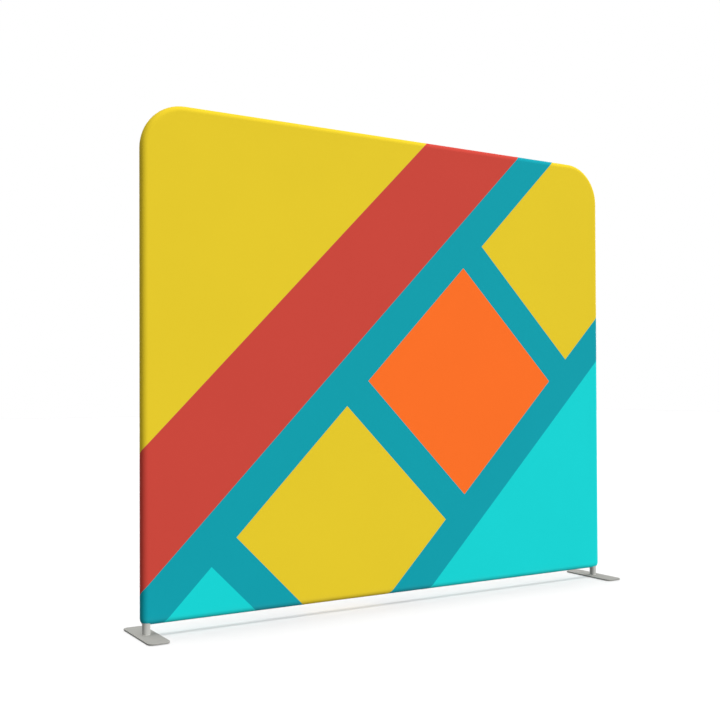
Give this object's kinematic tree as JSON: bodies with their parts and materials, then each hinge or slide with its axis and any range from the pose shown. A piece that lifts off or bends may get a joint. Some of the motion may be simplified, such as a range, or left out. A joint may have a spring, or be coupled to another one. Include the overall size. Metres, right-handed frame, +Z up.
{
  "type": "display backwall",
  "caption": "Free-standing display backwall: a zipped stretch-fabric print over a plug-together tube frame with rounded top corners, on flat swivelling feet.",
  "frame": {"origin": "on the floor, midway between the feet, under the middle of the wall's thickness", "axes": "+X along the wall to the right seen from the printed front, +Y from the front to the back, +Z up"},
  "size_m": [2.4798, 0.31, 2.1],
  "materials": {
    "anodised_tube": "satin anodised",
    "moulded_connector": "fine grained glass-filled nylon",
    "spring_steel": "bright zinc plated",
    "powder_coat": "satin grey powder coat",
    "rubber_pad": "matt",
    "nylon_washer": "natural nylon",
    "printed_fabric": "dye-printed stretch polyester knit in five flat colours",
    "lining_fabric": "plain white stretch polyester knit",
    "zip_tape": "woven polyester tape with a nylon coil",
    "zip_metal": "nickel plated"
  },
  "bodies": {
    "frame": {"left_bottom_corner": "moulded_connector", "left_upright": "anodised_tube", "left_top_bend": "anodised_tube", "left_upright_coupler": "anodised_tube", "left_top_coupler": "anodised_tube", "left_top_rail": "anodised_tube", "left_bottom_rail": "anodised_tube", "left_foot_stem": "powder_coat", "left_foot_washer": "nylon_washer", "right_bottom_corner": "moulded_connector", "right_upright": "anodised_tube", "right_top_bend": "anodised_tube", "right_upright_coupler": "anodised_tube", "right_top_coupler": "anodised_tube", "right_top_rail": "anodised_tube", "right_bottom_rail": "anodised_tube", "right_foot_stem": "powder_coat", "right_foot_washer": "nylon_washer", "bottom_tee": "moulded_connector", "top_tee": "moulded_connector", "centre_post_lower": "anodised_tube", "centre_post_upper": "anodised_tube", "centre_post_coupler": "moulded_connector", "fabric_front": "printed_fabric", "fabric_back": "lining_fabric", "zip_side_upper": "zip_tape", "zip_side_lower": "zip_tape", "zip_stop_left": "zip_metal", "zip_stop_right": "zip_metal"},
    "left_foot": {"left_foot_plate": "powder_coat", "left_foot_screw": "spring_steel", "left_foot_pad_front": "rubber_pad", "left_foot_pad_back": "rubber_pad"},
    "right_foot": {"right_foot_plate": "powder_coat", "right_foot_screw": "spring_steel", "right_foot_pad_front": "rubber_pad", "right_foot_pad_back": "rubber_pad"},
    "left_snap_corner_upright": {"left_snap_corner_upright": "spring_steel"},
    "left_snap_upright_bend": {"left_snap_upright_bend": "spring_steel"},
    "left_snap_bend_top_rail": {"left_snap_bend_top_rail": "spring_steel"},
    "left_snap_corner_bottom_rail": {"left_snap_corner_bottom_rail": "spring_steel"},
    "left_snap_tee_top_rail": {"left_snap_tee_top_rail": "spring_steel"},
    "left_snap_tee_bottom_rail": {"left_snap_tee_bottom_rail": "spring_steel"},
    "left_snap_stem": {"left_snap_stem": "spring_steel"},
    "right_snap_corner_upright": {"right_snap_corner_upright": "spring_steel"},
    "right_snap_upright_bend": {"right_snap_upright_bend": "spring_steel"},
    "right_snap_bend_top_rail": {"right_snap_bend_top_rail": "spring_steel"},
    "right_snap_corner_bottom_rail": {"right_snap_corner_bottom_rail": "spring_steel"},
    "right_snap_tee_top_rail": {"right_snap_tee_top_rail": "spring_steel"},
    "right_snap_tee_bottom_rail": {"right_snap_tee_bottom_rail": "spring_steel"},
    "right_snap_stem": {"right_snap_stem": "spring_steel"},
    "snap_post_foot": {"snap_post_foot": "spring_steel"},
    "snap_post_joint_lower": {"snap_post_joint_lower": "spring_steel"},
    "snap_post_joint_upper": {"snap_post_joint_upper": "spring_steel"},
    "snap_post_head": {"snap_post_head": "spring_steel"},
    "zip_slider": {"zip_slider": "zip_metal"},
    "zip_pull": {"zip_pull": "zip_metal"}
  },
  "joints": [
    {"name": "left_snap_corner_upright_press", "type": "hinge", "parent": "frame", "child": "left_snap_corner_upright", "pos_m": [-1.17661, 0, 0.1341], "axis": [0, -1, 0], "range_deg": [0, 10], "stiffness_Nm_per_rad": 3.5, "springref_deg": -3.44},
    {"name": "left_snap_upright_bend_press", "type": "hinge", "parent": "frame", "child": "left_snap_upright_bend", "pos_m": [-1.17661, 0, 1.013], "axis": [0, -1, 0], "range_deg": [0, 10], "stiffness_Nm_per_rad": 3.5, "springref_deg": -3.44},
    {"name": "left_snap_bend_top_rail_press", "type": "hinge", "parent": "frame", "child": "left_snap_bend_top_rail", "pos_m": [-0.87, 0, 2.05661], "axis": [0, -1, 0], "range_deg": [0, 10], "stiffness_Nm_per_rad": 3.5, "springref_deg": -3.44},
    {"name": "left_snap_corner_bottom_rail_press", "type": "hinge", "parent": "frame", "child": "left_snap_corner_bottom_rail", "pos_m": [-1.1479, 0, 0.08939], "axis": [0, 1, 0], "range_deg": [0, 10], "stiffness_Nm_per_rad": 3.5, "springref_deg": -3.44},
    {"name": "left_snap_tee_top_rail_press", "type": "hinge", "parent": "frame", "child": "left_snap_tee_top_rail", "pos_m": [-0.049, 0, 2.05661], "axis": [0, 1, 0], "range_deg": [0, 10], "stiffness_Nm_per_rad": 3.5, "springref_deg": -3.44},
    {"name": "left_snap_tee_bottom_rail_press", "type": "hinge", "parent": "frame", "child": "left_snap_tee_bottom_rail", "pos_m": [-0.049, 0, 0.08939], "axis": [0, -1, 0], "range_deg": [0, 10], "stiffness_Nm_per_rad": 3.5, "springref_deg": -3.44},
    {"name": "left_snap_stem_press", "type": "hinge", "parent": "frame", "child": "left_snap_stem", "pos_m": [-1.18293, 0, 0.0811], "axis": [0, -1, 0], "range_deg": [0, 10], "stiffness_Nm_per_rad": 2.5, "springref_deg": -3.44},
    {"name": "right_snap_corner_upright_press", "type": "hinge", "parent": "frame", "child": "right_snap_corner_upright", "pos_m": [1.17661, 0, 0.1341], "axis": [0, 1, 0], "range_deg": [0, 10], "stiffness_Nm_per_rad": 3.5, "springref_deg": -3.44},
    {"name": "right_snap_upright_bend_press", "type": "hinge", "parent": "frame", "child": "right_snap_upright_bend", "pos_m": [1.17661, 0, 1.013], "axis": [0, 1, 0], "range_deg": [0, 10], "stiffness_Nm_per_rad": 3.5, "springref_deg": -3.44},
    {"name": "right_snap_bend_top_rail_press", "type": "hinge", "parent": "frame", "child": "right_snap_bend_top_rail", "pos_m": [0.87, 0, 2.05661], "axis": [0, 1, 0], "range_deg": [0, 10], "stiffness_Nm_per_rad": 3.5, "springref_deg": -3.44},
    {"name": "right_snap_corner_bottom_rail_press", "type": "hinge", "parent": "frame", "child": "right_snap_corner_bottom_rail", "pos_m": [1.1479, 0, 0.08939], "axis": [0, -1, 0], "range_deg": [0, 10], "stiffness_Nm_per_rad": 3.5, "springref_deg": -3.44},
    {"name": "right_snap_tee_top_rail_press", "type": "hinge", "parent": "frame", "child": "right_snap_tee_top_rail", "pos_m": [0.049, 0, 2.05661], "axis": [0, -1, 0], "range_deg": [0, 10], "stiffness_Nm_per_rad": 3.5, "springref_deg": -3.44},
    {"name": "right_snap_tee_bottom_rail_press", "type": "hinge", "parent": "frame", "child": "right_snap_tee_bottom_rail", "pos_m": [0.049, 0, 0.08939], "axis": [0, 1, 0], "range_deg": [0, 10], "stiffness_Nm_per_rad": 3.5, "springref_deg": -3.44},
    {"name": "right_snap_stem_press", "type": "hinge", "parent": "frame", "child": "right_snap_stem", "pos_m": [1.18293, 0, 0.0811], "axis": [0, 1, 0], "range_deg": [0, 10], "stiffness_Nm_per_rad": 2.5, "springref_deg": -3.44},
    {"name": "snap_post_foot_press", "type": "hinge", "parent": "frame", "child": "snap_post_foot", "pos_m": [0.01134, 0, 0.1291], "axis": [0, -1, 0], "range_deg": [0, 11.2], "stiffness_Nm_per_rad": 2.5, "springref_deg": -3.44},
    {"name": "snap_post_joint_lower_press", "type": "hinge", "parent": "frame", "child": "snap_post_joint_lower", "pos_m": [0.01134, 0, 1.044], "axis": [0, 1, 0], "range_deg": [0, 11.2], "stiffness_Nm_per_rad": 2.5, "springref_deg": -3.44},
    {"name": "snap_post_joint_upper_press", "type": "hinge", "parent": "frame", "child": "snap_post_joint_upper", "pos_m": [0.01134, 0, 1.076], "axis": [0, -1, 0], "range_deg": [0, 11.2], "stiffness_Nm_per_rad": 2.5, "springref_deg": -3.44},
    {"name": "snap_post_head_press", "type": "hinge", "parent": "frame", "child": "snap_post_head", "pos_m": [0.01134, 0, 2.0169], "axis": [0, 1, 0], "range_deg": [0, 11.2], "stiffness_Nm_per_rad": 2.5, "springref_deg": -3.44},
    {"name": "left_foot_swivel", "type": "hinge", "parent": "frame", "child": "left_foot", "pos_m": [-1.1949, 0, 0.01], "axis": [0, 0, 1], "range_deg": [-90, 90]},
    {"name": "right_foot_swivel", "type": "hinge", "parent": "frame", "child": "right_foot", "pos_m": [1.1949, 0, 0.01], "axis": [0, 0, 1], "range_deg": [-90, 90]},
    {"name": "zip_slide", "type": "slide", "parent": "frame", "child": "zip_slider", "axis": [1, 0, 0], "range_m": [0, 2.246]},
    {"name": "zip_pull_swing", "type": "hinge", "parent": "zip_slider", "child": "zip_pull", "pos_m": [-1.123, 0.0294, 0.0931], "axis": [0, 1, 0], "range_deg": [-90, 90]}
  ]
}
